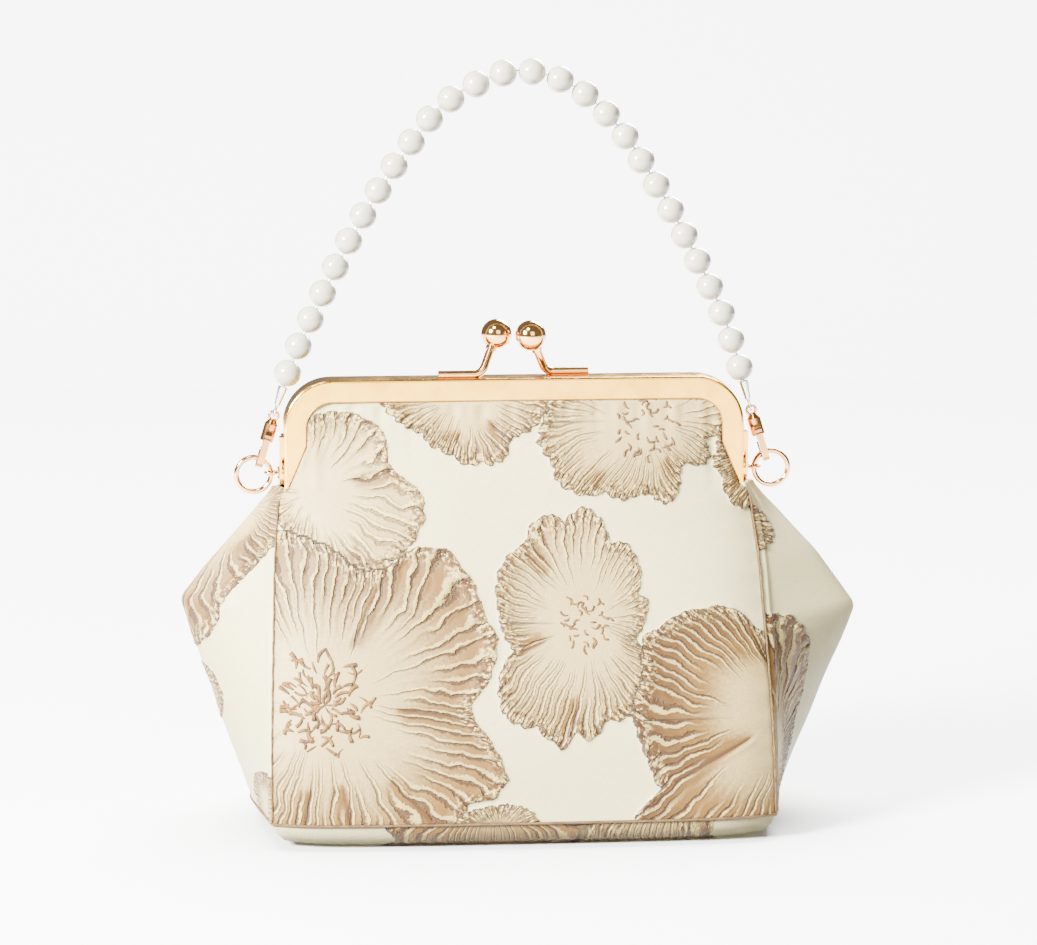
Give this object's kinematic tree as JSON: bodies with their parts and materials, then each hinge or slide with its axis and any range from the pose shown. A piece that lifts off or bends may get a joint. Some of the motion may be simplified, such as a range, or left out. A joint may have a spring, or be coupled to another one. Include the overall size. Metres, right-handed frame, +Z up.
{
  "type": "evening bag",
  "caption": "Small brocade purse on a gold kiss-lock frame, with side gussets, a flat base and a beaded carrying strand clipped to a ring at each side.",
  "frame": {"origin": "centre of the bag's resting face, on the surface it stands on", "axes": "+Z up, +X across the bag from the left ring to the right ring, the front panel faces -Y"},
  "size_m": [0.225, 0.0994, 0.256],
  "materials": {
    "brocade": "ivory satin ground with woven champagne flowers",
    "frame_gold": "polished light gold plate",
    "lock_gold": "polished gold plate",
    "hook_gold": "polished rose gold plate",
    "pearl": "pearl lacquer",
    "silver_wire": "bright drawn wire",
    "lining_satin": "satin",
    "paper_cord": "twisted paper",
    "base_board": "smooth stiffener board"
  },
  "bodies": {
    "bag": {"front_panel": "brocade", "back_panel": "brocade", "left_gusset": "brocade", "right_gusset": "brocade", "bottom_panel": "brocade", "base_board": "base_board", "lining": "lining_satin", "slip_pocket": "lining_satin", "left_eye_pin": "lock_gold", "right_eye_pin": "lock_gold"},
    "front_half": {"front_frame": "frame_gold", "front_paper_cord": "paper_cord", "front_lock_rod": "lock_gold", "front_lock_ball": "lock_gold", "front_panel_top": "brocade"},
    "back_half": {"back_frame": "frame_gold", "back_paper_cord": "paper_cord", "back_lock_rod": "lock_gold", "back_lock_ball": "lock_gold", "back_panel_top": "brocade"},
    "left_ring": {"left_ring": "lock_gold"},
    "right_ring": {"right_ring": "lock_gold"},
    "strand": {"strand_wire": "silver_wire", "left_hook": "hook_gold", "right_hook": "hook_gold", "left_crimp": "silver_wire", "right_crimp": "silver_wire", "lever_pins": "hook_gold", "lever_springs": "silver_wire", "bead_01": "pearl", "bead_02": "pearl", "bead_03": "pearl", "bead_04": "pearl", "bead_05": "pearl", "bead_06": "pearl", "bead_07": "pearl", "bead_08": "pearl", "bead_09": "pearl", "bead_10": "pearl", "bead_11": "pearl", "bead_12": "pearl", "bead_13": "pearl", "bead_14": "pearl", "bead_15": "pearl", "bead_16": "pearl", "bead_17": "pearl", "bead_18": "pearl", "bead_19": "pearl", "bead_20": "pearl", "bead_21": "pearl", "bead_22": "pearl", "bead_23": "pearl", "bead_24": "pearl", "bead_25": "pearl", "bead_26": "pearl", "bead_27": "pearl", "bead_28": "pearl"},
    "left_lever": {"left_lever": "hook_gold"},
    "right_lever": {"right_lever": "hook_gold"}
  },
  "joints": [
    {"name": "front_open", "type": "hinge", "parent": "bag", "child": "front_half", "pos_m": [0, 0, 0.1185], "axis": [1, 0, 0], "range_deg": [0, 50]},
    {"name": "back_open", "type": "hinge", "parent": "bag", "child": "back_half", "pos_m": [0, 0, 0.1185], "axis": [-1, 0, 0], "range_deg": [0, 50]},
    {"name": "strand_swing", "type": "hinge", "parent": "bag", "child": "strand", "pos_m": [0, 0, 0.12321], "axis": [1, 0, 0], "range_deg": [-100, 100]},
    {"name": "left_ring_turn", "type": "hinge", "parent": "bag", "child": "left_ring", "pos_m": [-0.08698, 0, 0.118], "axis": [0, 1, 0], "continuous": true},
    {"name": "right_ring_turn", "type": "hinge", "parent": "bag", "child": "right_ring", "pos_m": [0.08698, 0, 0.118], "axis": [0, 1, 0], "continuous": true},
    {"name": "left_lever_press", "type": "hinge", "parent": "strand", "child": "left_lever", "pos_m": [-0.08157, 0.0006, 0.13297], "axis": [-0.9563, 0, 0.2924], "range_deg": [0, 20], "stiffness_Nm_per_rad": 0.01, "springref_deg": -5.73},
    {"name": "right_lever_press", "type": "hinge", "parent": "strand", "child": "right_lever", "pos_m": [0.08157, 0.0006, 0.13297], "axis": [-0.9563, 0, -0.2924], "range_deg": [0, 20], "stiffness_Nm_per_rad": 0.01, "springref_deg": -5.73}
  ],
  "couplings": [
    {"joint": "back_open", "follows": "front_open", "ratio": 1}
  ]
}
